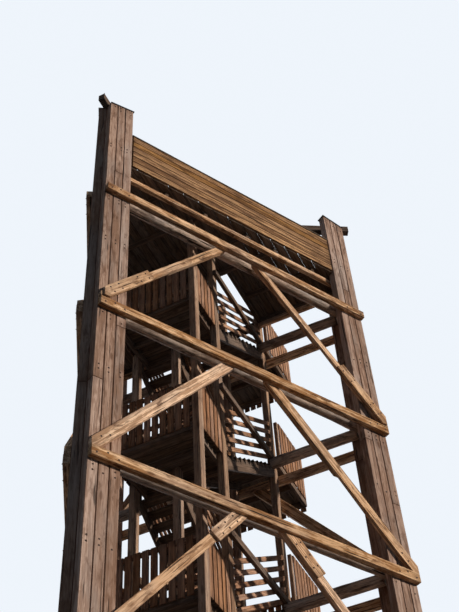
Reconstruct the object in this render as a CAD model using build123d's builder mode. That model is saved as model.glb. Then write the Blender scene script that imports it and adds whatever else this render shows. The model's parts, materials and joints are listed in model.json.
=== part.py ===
from build123d import *
import os
from math import atan, cos, radians, sqrt

os.makedirs("parts", exist_ok=True)

# Observation tower: an open timber frame on an equilateral plan, with a stair inside it.
# Millimetres, +Z up, ground at z = 0. The stair runs along Y, from the nose corner at -Y
# towards the landing face at +Y. X = 0 is the line between the two flights of a storey.

# Overall frame
storey = 3600
storeys = 5
face_width = 6800  # between the outer edges of the two wings of one face
top_ring = 20095  # reference height of the uppermost ring of walers and logs
seat = 0.3  # clearance of a round log against a flat face

# Corner wings: three timbers side by side
timber_width = 200
timbers_in_wing = 3
wing_thickness = 180
wing_top_outer = 3440  # above the top ring, at the corner
wing_top_inner = 3545
timber_groove = 9
arris = 6

# Horizontal members
waler_depth = 120
waler_below = 115
waler_above = 85
log_radius = 120
log_height = 210  # log centre above its ring
log_half_length = 2980

# Braces
brace_widths = (160, 220, 170, 170, 170)  # from the top storey down
brace_thickness = 110
brace_foot_inset = 110  # foot of the axis, in from the wing's outer edge
brace_foot_height = 200  # above the lower ring
brace_head_x = 500
brace_head_drop = 70  # below the upper ring
brace_tip_x = 370
brace_tip_height = 60  # above the upper ring, behind the waler
splice_thickness = 50
splice_width = 240
splice_end_gap = 50
foot_splice_ring = 1  # counted down from the top ring
head_splice_ring = 3
foot_splice_length = 1480
head_splice_length = 900

# Stair
rise = 150
going = 225
risers_in_flight = 12
risers_in_start = 5
risers_to_platform = 6
stair_half_width = 1010
newel_half_width = 70
post_width = 140
post_depth = 180
middle_post = 3586  # from the nose
landing_edge = 3995  # near landings end here, from the nose
tread_thickness = 40
nosing = 25
stringer_thickness = 60
stringer_drop = 360  # nosing line to the stringer's underside, measured plumb
rail_width = 100
rail_thickness = 35
rails_in_flight = 5
first_rail = 180  # above the nosing line
rail_pitch = 248
start_post_width = 90
start_post_gap = 30
start_post_height = 1400

# Landings
ring_to_near_floor = -1345
landing_plank = 45
plank_gap = 6
near_planks = 7
far_planks = 10
bearer_width = 80
bearer_depth = 150
far_landing_depth = 1439
slat_width = 130
slat_pitch = 165
slat_thickness = 25
slat_inset = 10  # in from the landing's side
near_slat_below = 110
near_guard_height = 1050
far_slat_below = 55
far_end_slat_below = 295
far_guard_height = 1225
low_rail_height = 150

# Platform
platform_plank = 50
platform_plank_width = 188
platform_plank_gap = 12
joist_depth = 150
joist_width = 80
ledger_depth = 130
ledger_thickness = 100
ledger_half_length = 3200
platform_edge = 45  # planks stop here, in from the outer plane
corner_clearance = 10
well_start = 4400  # the stairwell begins here over the front flight, from the nose
outer_joists = (900, 1780)  # between the nose and the near posts
guard_post_depth = 90
guard_post_height = 1130
guard_rail_heights = (450, 1000)

# Parapet
parapet_boards = 6
parapet_board = 190
parapet_gap = 9
parapet_thickness = 40
parapet_below_floor = 23
batten_width = 120
batten_thickness = 60
batten_spacing = 1100
cap_thickness = 30
cap_overhang = 15

# Top
top_beam_width = 150
top_beam_depth = 200
top_beam_inset = 90  # outer end, in from the corner of the plan
top_beam_gap = 60  # inner end, out from where the three axes meet
hub_radius = 260
hub_thickness = 12
rod_radius = 8
rod_height = 250
rod_inset = 120

# Plan: the outer planes of the three faces make an equilateral triangle
cos30 = cos(radians(30))
sin30 = 0.5
wing_width = timber_width * timbers_in_wing
plan_side = face_width + 2 * wing_thickness * sqrt(3)
plan_height = plan_side * cos30
inradius = plan_height / 3
face_half = face_width / 2
wing_inner_x = face_half - wing_width

# Heights
rings = [top_ring - storey * level for level in range(storeys + 1)]
near_floors = [ring + ring_to_near_floor for ring in rings]
far_floors = [floor + rise * risers_in_flight for floor in near_floors]
ring_to_far_floor = far_floors[0] - rings[0]
platform_floor = far_floors[0] + rise * risers_to_platform
joist_top = platform_floor - platform_plank
joist_bottom = joist_top - joist_depth
bearer_top = -landing_plank  # bearer heights are taken from the landing's floor
bearer_bottom = bearer_top - bearer_depth
parapet_bottom = platform_floor - parapet_below_floor
parapet_top = parapet_bottom + parapet_boards * (parapet_board + parapet_gap) - parapet_gap
beam_bottom = top_ring + wing_top_outer
beam_top = beam_bottom + top_beam_depth

# Stair places, measured along Y from the nose
post_inner_x = stair_half_width - post_width
bearer_inner_x = post_inner_x - bearer_width
beam_outer_x = stair_half_width + bearer_width
log_y = wing_thickness + seat + log_radius
log_back = log_y + log_radius
near_post = (log_back + seat + stair_half_width * cos30) / sin30
near_post_back = near_post + post_depth
middle_post_back = middle_post + post_depth
wall_post = plan_height - post_depth
far_edge = landing_edge + going * (risers_in_flight - 1)
far_beam_end = far_edge + far_landing_depth
far_end = far_beam_end + slat_thickness
start_edge = landing_edge + going * (risers_in_start - 1)
well_middle = far_edge - going * (risers_to_platform - 1)
nose_y = -(top_beam_inset + far_end) / 2  # puts the origin under the tower's middle

corner = (Align.MIN, Align.MIN, Align.MIN)
everywhere = 2 * plan_side


def face_frame(angle):
    # Frame of one face: x along it, y inwards from its outer plane
    centre = Location((0, nose_y + 2 * inradius, 0), (0, 0, angle))
    return centre * Location((0, -inradius, 0))


faces = {"front": face_frame(60), "landing": face_frame(180), "side": face_frame(-60)}
open_faces = ("front", "side")
stair_frame = Location((0, nose_y, 0))


def heights(levels):
    return [Location((0, 0, level)) for level in levels]


def block(x, y, z, mode=Mode.ADD):
    # A squared timber between pairs of limits
    with Locations((x[0], y[0], z[0])):
        Box(x[1] - x[0], y[1] - y[0], z[1] - z[0], align=corner, mode=mode)


def mirrored(x):
    return (-x[1], -x[0])


def block_pair(x, y, z, mode=Mode.ADD):
    block(x, y, z, mode)
    block(mirrored(x), y, z, mode)


def panel(x, y, mode=Mode.ADD):
    # A rectangle between pairs of limits, in a sketch
    with Locations(((x[0] + x[1]) / 2, (y[0] + y[1]) / 2)):
        Rectangle(x[1] - x[0], y[1] - y[0], mode=mode)


def centred(half):
    return (-half, half)


def finish(part, name):
    part.label = name
    export_step(part, f"parts/{name}.step")


# Corner wings, with a groove between their timbers and tops that fall towards the corner
def make_wing(direction):
    with BuildPart() as wing:
        with BuildSketch() as section:
            Rectangle(wing_width, wing_thickness)
            chamfer(section.vertices(), arris)
            with GridLocations(timber_width, wing_thickness, timbers_in_wing - 1, 2):
                Rectangle(timber_groove, timber_groove, rotation=45, mode=Mode.SUBTRACT)
        extrude(amount=top_ring + wing_top_inner)
        corner_x = direction * wing_width / 2
        with BuildSketch(Plane.XZ):
            Polygon(
                (-corner_x, top_ring + wing_top_inner),
                (corner_x, top_ring + wing_top_inner),
                (corner_x, top_ring + wing_top_outer),
                align=None,
            )
        extrude(amount=wing_thickness, both=True, mode=Mode.SUBTRACT)
    return wing.part


wings = []
for face_name, place in faces.items():
    for hand, direction in (("left", -1), ("right", 1)):
        wing_shape = make_wing(direction)
        wing_x = direction * (face_half - wing_width / 2)
        with BuildPart() as wing:
            with Locations(place * Location((wing_x, wing_thickness / 2, 0))):
                add(wing_shape)
        wings.append(wing.part)
        finish(wing.part, f"{face_name}_{hand}_wing")


# Walers: one timber across the outside of each face at every ring
for face_name, place in faces.items():
    with BuildPart() as walers:
        with Locations(place), Locations(*heights(rings)):
            block(centred(face_half), (-waler_depth, 0), (-waler_below, waler_above))
    finish(walers.part, f"{face_name}_walers")


# Logs behind the wings. Those of the landing face stop at the stair, and are notched for
# the long beams of the landings.
for face_name, place in faces.items():
    log_ends = (stair_half_width, log_half_length)
    with BuildPart() as logs:
        with Locations(place), Locations(*heights(rings)):
            if face_name in open_faces:
                with Locations((0, log_y, log_height)):
                    Cylinder(log_radius, 2 * log_half_length, rotation=(0, 90, 0))
            else:
                log_x = sum(log_ends) / 2
                with Locations((log_x, log_y, log_height), (-log_x, log_y, log_height)):
                    Cylinder(log_radius, log_ends[1] - log_ends[0], rotation=(0, 90, 0))
                notch_z = (ring_to_far_floor + bearer_bottom, log_height + log_radius)
                notch_x = (stair_half_width, beam_outer_x)
                block_pair(notch_x, (wing_thickness, log_back), notch_z, Mode.SUBTRACT)
    finish(logs.part, f"{face_name}_logs")


# Braces: a pair a storey. Each stands on the lower waler against the wing's outer face.
# On the open faces its head leans in behind the upper waler; on the landing face it stays
# outside the wall posts and butts against the waler.
def brace_line(direction, lean):
    foot = Vector(direction * (face_half - brace_foot_inset), -brace_thickness, brace_foot_height)
    head = Vector(direction * brace_head_x, lean - brace_thickness, storey - brace_head_drop)
    along = (head - foot).normalized()
    outward = along * along.Y - Vector(0, 1, 0)
    return Plane(foot, x_dir=along, z_dir=outward), (head - foot).length


def limits(x, z, direction):
    # Keeps what lies between these limits of the face
    x = x if direction > 0 else mirrored(x)
    block(x, centred(4 * brace_thickness), z, Mode.INTERSECT)


def make_brace(width, direction, lean):
    plane, length = brace_line(direction, lean)
    head_z = storey + brace_tip_height if lean else storey - waler_below
    with BuildPart() as brace:
        with BuildSketch(plane):
            with Locations((length / 2, 0)):
                Rectangle(2 * length, width)
        extrude(amount=-brace_thickness)
        limits((brace_tip_x, face_half), (waler_above, head_z), direction)
        block(centred(face_half), (0, wing_thickness), (0, storey / 2), Mode.SUBTRACT)
        upper_waler = (storey - waler_below, storey + waler_above)
        block(centred(face_half), (-waler_depth, 0), upper_waler, Mode.SUBTRACT)
    return brace.part


def make_splice(span, direction, z):
    plane, length = brace_line(direction, brace_thickness)
    with BuildPart() as splice:
        with BuildSketch(plane):
            with Locations(((span[0] + span[1]) / 2, 0)):
                Rectangle(span[1] - span[0], splice_width)
        extrude(amount=splice_thickness)
        limits((brace_tip_x, face_half - splice_end_gap), z, direction)
    return splice.part


for face_name, place in faces.items():
    lean = brace_thickness if face_name in open_faces else 0
    brace_shapes = []
    for width, lower_ring in zip(brace_widths, rings[1:]):
        for direction in (-1, 1):
            brace_shapes.append((make_brace(width, direction, lean), lower_ring))
    with BuildPart() as braces:
        for brace_shape, lower_ring in brace_shapes:
            with Locations(place * Location((0, 0, lower_ring))):
                add(brace_shape)
    finish(braces.part, f"{face_name}_braces")

brace_length = brace_line(1, brace_thickness)[1]
splice_shapes = []
for direction in (-1, 1):
    foot_span = (-splice_width, foot_splice_length)
    head_span = (brace_length - head_splice_length, brace_length + splice_width)
    foot_plate = make_splice(foot_span, direction, (waler_above, storey))
    head_plate = make_splice(head_span, direction, (0, storey - waler_below))
    splice_shapes += [(foot_plate, rings[foot_splice_ring]), (head_plate, rings[head_splice_ring])]
with BuildPart() as splices:
    for splice_shape, lower_ring in splice_shapes:
        with Locations(faces["front"] * Location((0, 0, lower_ring))):
            add(splice_shape)
finish(splices.part, "front_brace_splices")


# Parapet boards on upright battens, from wing to wing; the stair comes up through the
# landing face's middle
def parapet_spans(face_name):
    if face_name in open_faces:
        return [centred(wing_inner_x)]
    beside_stair = (stair_half_width, wing_inner_x)
    return [beside_stair, mirrored(beside_stair)]


parapet_back = parapet_thickness + batten_thickness
for face_name, place in faces.items():
    with BuildPart() as parapet:
        with Locations(place):
            for span in parapet_spans(face_name):
                for row in range(parapet_boards):
                    board_z = parapet_bottom + row * (parapet_board + parapet_gap)
                    block(span, (0, parapet_thickness), (board_z, board_z + parapet_board))
                bays = round((span[1] - span[0]) / batten_spacing)
                step = (span[1] - span[0] - batten_width) / bays
                for batten in range(bays + 1):
                    batten_x = span[0] + batten * step
                    block(
                        (batten_x, batten_x + batten_width),
                        (parapet_thickness, parapet_back),
                        (platform_floor, parapet_top),
                    )
    finish(parapet.part, f"{face_name}_parapet")

with BuildPart() as parapet_caps:
    for face_name, place in faces.items():
        with Locations(place):
            for span in parapet_spans(face_name):
                cap_y = (-cap_overhang, parapet_back + cap_overhang)
                block(span, cap_y, (parapet_top, parapet_top + cap_thickness))
finish(parapet_caps.part, "parapet_caps")


# Platform: ledgers on the wings, joists across them, trimmers round the stairwell, planks
ledger_y = (wing_thickness, wing_thickness + ledger_thickness)
ledger_z = (joist_bottom - ledger_depth, joist_bottom)
with BuildPart() as platform_ledgers:
    for face_name in open_faces:
        with Locations(faces[face_name]):
            block(centred(ledger_half_length), ledger_y, ledger_z)
    with Locations(faces["landing"]):
        block_pair((stair_half_width, ledger_half_length), ledger_y, ledger_z)
finish(platform_ledgers.part, "platform_ledgers")


def plan_triangle(inset):
    # The plan, that far in from its outer planes, with the nose at the origin
    back = plan_height - inset
    half = (back - inset / sin30) * sin30 / cos30
    return [(0, inset / sin30), (half, back), (-half, back)]


def beside(place):
    return (place - joist_width, place)


joist_places = [centred_at + joist_width / 2 for centred_at in outer_joists]
joist_places += [near_post + (post_depth + joist_width) / 2]
joist_places += [middle_post + (post_depth + joist_width) / 2, well_start]
wing_edge = wing_thickness + corner_clearance
rear_joist = beside(plan_height - wing_edge)
newel_joist = beside(wall_post + (post_depth + joist_width) / 2)
with BuildPart() as platform_joists:
    with BuildSketch(Plane((0, nose_y, joist_bottom))):
        for place in joist_places:
            panel(centred(everywhere), beside(place))
        panel((-everywhere, newel_half_width), beside(well_middle))
        panel((beam_outer_x, everywhere), beside(well_middle))
        panel((stair_half_width, everywhere), rear_joist)
        panel((-everywhere, -stair_half_width), rear_joist)
        Polygon(*plan_triangle(wing_edge), align=None, mode=Mode.INTERSECT)
    extrude(amount=joist_depth)
    with Locations(stair_frame):
        block_pair((newel_half_width, post_inner_x), newel_joist, (joist_bottom, joist_top))
finish(platform_joists.part, "platform_joists")

with BuildPart() as platform_trimmers:
    with Locations(stair_frame):
        trimmer_z = (joist_bottom, joist_top)
        block((stair_half_width, beam_outer_x), (well_start, rear_joist[0]), trimmer_z)
        block(mirrored((stair_half_width, beam_outer_x)), (well_middle, rear_joist[0]), trimmer_z)
        middle_x = (newel_half_width - joist_width, newel_half_width)
        block(middle_x, (well_start, well_middle - joist_width), trimmer_z)
finish(platform_trimmers.part, "platform_trimmers")

plank_step = platform_plank_width + platform_plank_gap
plank_count = 2 * int(plan_side / 2 / plank_step) + 1
with BuildSketch(Plane.XY.offset(joist_top)) as plank_strips:
    with GridLocations(plank_step, 0, plank_count, 1):
        Rectangle(platform_plank_width, everywhere)
with BuildPart() as platform_planks:
    with BuildSketch(Plane.XY.offset(joist_top)):
        with Locations(stair_frame):
            Polygon(*plan_triangle(wing_edge), align=None)
        for place in faces.values():
            with Locations(place):
                between_wings = centred(wing_inner_x - corner_clearance)
                panel(between_wings, (platform_edge, wing_edge))
        with Locations(stair_frame):
            panel((newel_half_width, stair_half_width), (well_start, wall_post), Mode.SUBTRACT)
            panel(centred(stair_half_width), (well_middle, wall_post), Mode.SUBTRACT)
            post_x = (post_inner_x, stair_half_width)
            panel(post_x, (wall_post, plan_height), Mode.SUBTRACT)
            panel(mirrored(post_x), (wall_post, plan_height), Mode.SUBTRACT)
            panel(centred(newel_half_width), (wall_post, plan_height), Mode.SUBTRACT)
        add(plank_strips.sketch.moved(Location((0, 0, -joist_top))), mode=Mode.INTERSECT)
    extrude(amount=platform_plank)
finish(platform_planks.part, "platform_planks")


# Posts of the stair
with BuildPart() as near_posts:
    with Locations(stair_frame):
        block_pair((post_inner_x, stair_half_width), (near_post, near_post_back), (0, joist_bottom))
finish(near_posts.part, "near_posts")

with BuildPart() as middle_posts:
    with Locations(stair_frame):
        block_pair((post_inner_x, stair_half_width), (middle_post, middle_post_back), (0, joist_bottom))
finish(middle_posts.part, "middle_posts")

with BuildPart() as wall_posts:
    with Locations(stair_frame):
        block_pair((post_inner_x, stair_half_width), (wall_post, plan_height), (0, parapet_top))
finish(wall_posts.part, "wall_posts")

start_post_y = (start_edge + start_post_gap, start_edge + start_post_gap + start_post_width)
with BuildPart() as newel_posts:
    with Locations(stair_frame):
        block(centred(newel_half_width), (middle_post, middle_post_back), (0, joist_bottom))
        rear_newel_z = (0, platform_floor + guard_post_height)
        block(centred(newel_half_width), (wall_post, plan_height), rear_newel_z)
        for start_post_x in (-newel_half_width, -stair_half_width):
            post_x = (start_post_x, start_post_x + start_post_width)
            block(post_x, start_post_y, (0, start_post_height))
finish(newel_posts.part, "newel_posts")


# Near landings: planks across, notched round the posts, on bearers
near_floor_start = near_post + slat_thickness
near_plank_pitch = (landing_edge - near_floor_start) / near_planks
slat_outer_x = stair_half_width - slat_inset
slat_inner_x = slat_outer_x - slat_thickness
with BuildPart() as near_floor:
    with BuildSketch(Plane((0, nose_y, 0))):
        for plank in range(near_planks):
            plank_y = near_floor_start + plank * near_plank_pitch
            half = stair_half_width if plank_y > middle_post_back else slat_inner_x
            panel(centred(half), (plank_y, plank_y + near_plank_pitch - plank_gap))
        for post_y in ((near_post, near_post_back), (middle_post, middle_post_back)):
            panel((post_inner_x, everywhere), post_y, Mode.SUBTRACT)
            panel((-everywhere, -post_inner_x), post_y, Mode.SUBTRACT)
        panel(centred(newel_half_width), (middle_post, middle_post_back), Mode.SUBTRACT)
    extrude(amount=-landing_plank)
with BuildPart() as near_floors_part:
    with Locations(*heights(near_floors)):
        add(near_floor.part)
finish(near_floors_part.part, "near_floors")

bearer_z = (bearer_bottom, bearer_top)
header = (landing_edge - bearer_width, landing_edge)
near_bearer = (near_floor_start, near_floor_start + bearer_width)
near_middle_bearer = ((near_bearer[0] + header[0]) / 2, (near_bearer[1] + header[1]) / 2)
with BuildPart() as near_side_bearers:
    with Locations(stair_frame), Locations(*heights(near_floors)):
        block_pair((bearer_inner_x, post_inner_x), (near_floor_start, landing_edge), bearer_z)
finish(near_side_bearers.part, "near_side_bearers")

with BuildPart() as cross_bearers:
    with Locations(stair_frame), Locations(*heights(near_floors)):
        for bearer_y in (near_bearer, near_middle_bearer, header):
            block(centred(bearer_inner_x), bearer_y, bearer_z)
    with Locations(stair_frame), Locations(*heights(far_floors)):
        far_first = (far_edge, far_edge + bearer_width)
        far_last = (far_beam_end - bearer_width, far_beam_end)
        far_middle = ((far_first[0] + far_last[0]) / 2, (far_first[1] + far_last[1]) / 2)
        for bearer_y in (far_first, far_middle, far_last):
            block(centred(stair_half_width), bearer_y, bearer_z)
finish(cross_bearers.part, "cross_bearers")


# Far landings: long beams from the middle posts out past the wall, planks along them
with BuildPart() as long_beams:
    with Locations(stair_frame), Locations(*heights(far_floors)):
        block_pair((stair_half_width, beam_outer_x), (middle_post, far_beam_end), bearer_z)
finish(long_beams.part, "long_beams")

far_plank_pitch = 2 * stair_half_width / far_planks
with BuildPart() as far_floor:
    with BuildSketch(Plane((0, nose_y + (far_edge + far_beam_end) / 2, 0))):
        with GridLocations(far_plank_pitch, 0, far_planks, 1):
            Rectangle(far_plank_pitch - plank_gap, far_landing_depth)
    extrude(amount=-landing_plank)
with BuildPart() as far_floors_part:
    with Locations(*heights(far_floors)):
        add(far_floor.part)
finish(far_floors_part.part, "far_floors")


# Posts of the landing guards, and of the guard round the stairwell
first_guard_y = (far_edge, far_edge + bearer_width)
last_guard_y = (far_beam_end - bearer_width, far_beam_end)
well_posts = [
    ((post_inner_x, stair_half_width), well_start),
    (centred(newel_half_width), well_start),
    (centred(newel_half_width), well_middle),
    ((-stair_half_width, -post_inner_x), well_middle),
]
with BuildPart() as guard_posts:
    with Locations(stair_frame), Locations(*heights(far_floors)):
        for post_y in (first_guard_y, last_guard_y):
            block_pair((stair_half_width, beam_outer_x), post_y, (bearer_top, far_guard_height))
    with Locations(stair_frame):
        for post_x, post_end in well_posts:
            post_y = (post_end - guard_post_depth, post_end)
            block(post_x, post_y, (platform_floor, platform_floor + guard_post_height))
finish(guard_posts.part, "guard_posts")

with BuildPart() as stairwell_rails:
    rail_levels = heights([platform_floor + level for level in guard_rail_heights])
    with Locations(stair_frame), Locations(*rail_levels):
        rail_z = (0, rail_width)
        outside_x = (stair_half_width, stair_half_width + rail_thickness)
        rail_end = plan_height - parapet_back - corner_clearance
        block(outside_x, (well_start - guard_post_depth, rail_end), rail_z)
        block(mirrored(outside_x), (well_middle - guard_post_depth, rail_end), rail_z)
        across_y = (well_start - guard_post_depth, well_start - guard_post_depth + rail_thickness)
        block((newel_half_width, post_inner_x), across_y, rail_z)
        block(centred(rail_thickness / 2), (well_start, well_middle - guard_post_depth), rail_z)
finish(stairwell_rails.part, "stairwell_rails")


# Slatted guards: upright slats nailed to two rails
def slat_starts(span):
    count = int((span[1] - span[0] - slat_width) / slat_pitch) + 1
    margin = (span[1] - span[0] - (count - 1) * slat_pitch - slat_width) / 2
    return [span[0] + margin + slat * slat_pitch for slat in range(count)]


def guard_rail_limits(top):
    return [(low_rail_height, low_rail_height + rail_width), (top - rail_width, top)]


with BuildPart() as near_end_panels:
    with Locations(stair_frame), Locations(*heights(near_floors)):
        for rail_z in guard_rail_limits(near_guard_height):
            rail_y = (near_floor_start, near_floor_start + rail_thickness)
            block(centred(post_inner_x), rail_y, rail_z)
        for slat in slat_starts(centred(post_inner_x)):
            slat_z = (-near_slat_below, near_guard_height)
            block((slat, slat + slat_width), (near_post, near_floor_start), slat_z)
finish(near_end_panels.part, "near_end_panels")

with BuildPart() as near_side_panels:
    with Locations(stair_frame), Locations(*heights(near_floors)):
        for rail_z in guard_rail_limits(near_guard_height):
            rail_x = (slat_inner_x - rail_thickness, slat_inner_x)
            block_pair(rail_x, (near_post_back, middle_post), rail_z)
        for slat in slat_starts((near_post_back, middle_post)):
            slat_z = (-near_slat_below, near_guard_height)
            block_pair((slat_inner_x, slat_outer_x), (slat, slat + slat_width), slat_z)
finish(near_side_panels.part, "near_side_panels")

with BuildPart() as far_side_panels:
    with Locations(stair_frame), Locations(*heights(far_floors)):
        for rail_z in guard_rail_limits(far_guard_height):
            rail_x = (beam_outer_x - rail_thickness, beam_outer_x)
            block_pair(rail_x, (first_guard_y[1], last_guard_y[0]), rail_z)
        for slat in slat_starts((far_edge, far_beam_end)):
            slat_x = (beam_outer_x, beam_outer_x + slat_thickness)
            slat_z = (-far_slat_below, far_guard_height)
            block_pair(slat_x, (slat, slat + slat_width), slat_z)
finish(far_side_panels.part, "far_side_panels")

with BuildPart() as far_end_panels:
    with Locations(stair_frame), Locations(*heights(far_floors)):
        for rail_z in guard_rail_limits(far_guard_height):
            rail_y = (far_beam_end - rail_thickness, far_beam_end)
            block(centred(stair_half_width), rail_y, rail_z)
        for slat in slat_starts(centred(beam_outer_x)):
            slat_z = (-far_end_slat_below, far_guard_height)
            block((slat, slat + slat_width), (far_beam_end, far_end), slat_z)
finish(far_end_panels.part, "far_end_panels")


# Flights. In a flight's own frame its first riser is at y = 0, it climbs along +y from
# z = 0, and its inner side is the one near x = 0.
def nosing_line(y):
    return rise * (y / going + 1)


def make_stringer(x, ends, steps, foot=None, head=None, ground=False):
    # foot and head are the heights of the stubs beyond the first and last riser
    start, end = ends
    outline = [(start, nosing_line(start) - stringer_drop)]
    if ground:
        outline = [(going * (stringer_drop / rise - 1), 0), (start, 0)]
    if foot is not None:
        outline += [(start, foot), (going * steps[0], foot)]
    for step in steps:
        under_tread = rise * (step + 1) - tread_thickness
        left = start if step == steps[0] and foot is None else going * step
        right = end if step == steps[-1] and head is None else going * (step + 1)
        outline += [(left, under_tread), (right, under_tread)]
    if head is not None:
        outline += [(going * (steps[-1] + 1), head), (end, head)]
    outline.append((end, nosing_line(end) - stringer_drop))
    with BuildPart() as stringer:
        with BuildSketch(Plane.YZ.offset(x[0])):
            Polygon(*outline, align=None)
        extrude(amount=x[1] - x[0])
    return stringer.part


def make_rails(x, ends):
    start, end = ends
    pitch = atan(rise / going)
    half_width = rail_width / 2 / cos(pitch)
    with BuildPart() as rails:
        with BuildSketch(Plane.YZ.offset(x[0])):
            for rail in range(rails_in_flight):
                middle = first_rail + rail * rail_pitch
                Polygon(
                    (start, nosing_line(start) + middle - half_width),
                    (end, nosing_line(end) + middle - half_width),
                    (end, nosing_line(end) + middle + half_width),
                    (start, nosing_line(start) + middle + half_width),
                    align=None,
                )
        extrude(amount=x[1] - x[0])
    return rails.part


def upwards(first_riser, level):
    # A front flight, on the +X side, climbs along +Y
    return Location((0, nose_y + first_riser, level))


def backwards(first_riser, level):
    # A rear flight, on the -X side, climbs along -Y
    return Location((0, nose_y + first_riser, level), (0, 0, 180))


inner_x = (newel_half_width, newel_half_width + stringer_thickness)
outer_x = (stair_half_width - stringer_thickness, stair_half_width)
flight_run = far_edge - landing_edge
start_run = start_edge - landing_edge
well_run = far_edge - well_middle
under_floor = -landing_plank
to_middle_post = landing_edge - middle_post_back
to_wall_post = far_edge - wall_post
full_head = rise * risers_in_flight

front_places = [upwards(landing_edge, level) for level in near_floors]
rear_places = [backwards(far_edge, level) for level in far_floors[1:]]
start_place = [backwards(start_edge, 0)]
top_place = [backwards(far_edge, far_floors[0])]

all_steps = list(range(risers_in_flight - 1))
start_steps = list(range(risers_in_start - 1))
top_steps = list(range(risers_to_platform - 1))
stringer_sets = [
    (front_places, [
        make_stringer(inner_x, (0, flight_run), all_steps),
        make_stringer(outer_x, (-to_middle_post, flight_run - to_wall_post), all_steps[:-1], under_floor),
    ]),
    (rear_places, [
        make_stringer(inner_x, (0, flight_run + bearer_width), all_steps, head=full_head + bearer_bottom),
        make_stringer(
            outer_x,
            (to_wall_post, flight_run + to_middle_post),
            all_steps[1:],
            head=full_head + bearer_top,
        ),
    ]),
    (start_place, [
        make_stringer(
            inner_x,
            (0, start_run + bearer_width),
            start_steps,
            head=near_floors[-1] + bearer_bottom,
            ground=True,
        ),
        make_stringer(
            outer_x,
            (0, start_run + to_middle_post),
            start_steps,
            head=near_floors[-1] + bearer_top,
            ground=True,
        ),
    ]),
    (top_place, [
        make_stringer(
            inner_x,
            (0, well_run + joist_width),
            top_steps,
            head=joist_bottom - far_floors[0],
        ),
        make_stringer(
            outer_x,
            (to_wall_post, well_run + joist_width),
            top_steps[1:],
            head=joist_bottom - far_floors[0],
        ),
    ]),
]
with BuildPart() as stringers:
    for places, shapes in stringer_sets:
        for shape in shapes:
            with Locations(*places):
                add(shape)
    # The inner stringers of the front flights sit on the walers of the landing face
    with Locations(faces["landing"]), Locations(*heights(rings)):
        block(centred(face_half), (-waler_depth, 0), (-waler_below, waler_above), Mode.SUBTRACT)
finish(stringers.part, "stringers")

outer_tread_x = (newel_half_width, stair_half_width)
between_posts_x = (newel_half_width, post_inner_x)


def tread(step, x):
    tread_z = (rise * (step + 1) - tread_thickness, rise * (step + 1))
    block(x, (going * step - nosing, going * (step + 1)), tread_z)


with BuildPart() as treads:
    with Locations(*front_places):
        for step in all_steps[:-1]:
            tread(step, outer_tread_x)
        tread(all_steps[-1], between_posts_x)
    with Locations(*rear_places):
        tread(0, between_posts_x)
        for step in all_steps[1:]:
            tread(step, outer_tread_x)
    with Locations(*start_place):
        for step in start_steps:
            tread(step, outer_tread_x)
    with Locations(*top_place):
        tread(0, between_posts_x)
        for step in top_steps[1:]:
            tread(step, outer_tread_x)
    # The widest treads are notched round the wall posts
    with Locations(stair_frame):
        post_x = (post_inner_x, stair_half_width)
        block_pair(post_x, (wall_post, plan_height), (0, platform_floor), Mode.SUBTRACT)
finish(treads.part, "treads")

inner_rail_x = (newel_half_width - rail_thickness, newel_half_width)
outer_rail_x = (slat_outer_x - rail_thickness, slat_outer_x)
rail_sets = [
    (front_places, (-to_middle_post, flight_run - to_wall_post)),
    (rear_places, (to_wall_post, flight_run + to_middle_post)),
    (start_place, (-start_post_gap, start_run + to_middle_post)),
    (top_place, (to_wall_post, well_run)),
]
rail_shapes = []
for places, ends in rail_sets:
    rail_shapes.append((places, make_rails(inner_rail_x, ends)))
    rail_shapes.append((places, make_rails(outer_rail_x, ends)))
with BuildPart() as stair_rails:
    for places, shape in rail_shapes:
        with Locations(*places):
            add(shape)
finish(stair_rails.part, "stair_rails")


# Top: three beams along the bisectors, cut over the wings, held together by steel plates
axes = [Location((0, nose_y + 2 * inradius, 0), (0, 0, turn)) for turn in (0, 120, 240)]
with BuildPart() as top_beams:
    with Locations(*axes):
        beam_y = (top_beam_inset - 2 * inradius, -top_beam_gap)
        block(centred(top_beam_width / 2), beam_y, (beam_bottom, beam_top))
    for wing_solid in wings:
        add(wing_solid, mode=Mode.SUBTRACT)
finish(top_beams.part, "top_beams")

with BuildPart() as tie_hub:
    for plate_z in (beam_bottom - hub_thickness, beam_top):
        with BuildSketch(Plane((0, nose_y + 2 * inradius, plate_z))):
            RegularPolygon(hub_radius, 6)
        extrude(amount=hub_thickness)
finish(tie_hub.part, "tie_hub")

with BuildPart() as lightning_rod:
    with Locations((0, nose_y + top_beam_inset + rod_inset, beam_top)):
        Cylinder(rod_radius, rod_height, align=(Align.CENTER, Align.CENTER, Align.MIN))
finish(lightning_rod.part, "lightning_rod")
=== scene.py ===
import bpy
import bmesh
import json
import math
import random
from mathutils import Euler, Matrix, Quaternion, Vector, noise
from mathutils.bvhtree import BVHTree


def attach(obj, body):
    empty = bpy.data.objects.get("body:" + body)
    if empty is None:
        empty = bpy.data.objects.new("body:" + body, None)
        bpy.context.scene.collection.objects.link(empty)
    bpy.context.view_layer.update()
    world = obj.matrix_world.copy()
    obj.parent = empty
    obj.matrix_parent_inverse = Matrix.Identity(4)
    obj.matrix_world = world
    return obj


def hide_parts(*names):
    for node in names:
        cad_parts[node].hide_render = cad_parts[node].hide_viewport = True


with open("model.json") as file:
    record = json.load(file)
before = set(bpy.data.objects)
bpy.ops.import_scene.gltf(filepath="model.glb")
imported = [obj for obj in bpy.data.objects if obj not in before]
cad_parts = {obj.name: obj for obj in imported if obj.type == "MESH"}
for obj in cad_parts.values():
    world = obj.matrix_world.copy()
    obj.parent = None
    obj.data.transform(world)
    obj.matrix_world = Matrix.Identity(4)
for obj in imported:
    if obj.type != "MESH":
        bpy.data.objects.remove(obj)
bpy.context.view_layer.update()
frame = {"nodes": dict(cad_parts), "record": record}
nodes = frame["nodes"]
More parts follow.
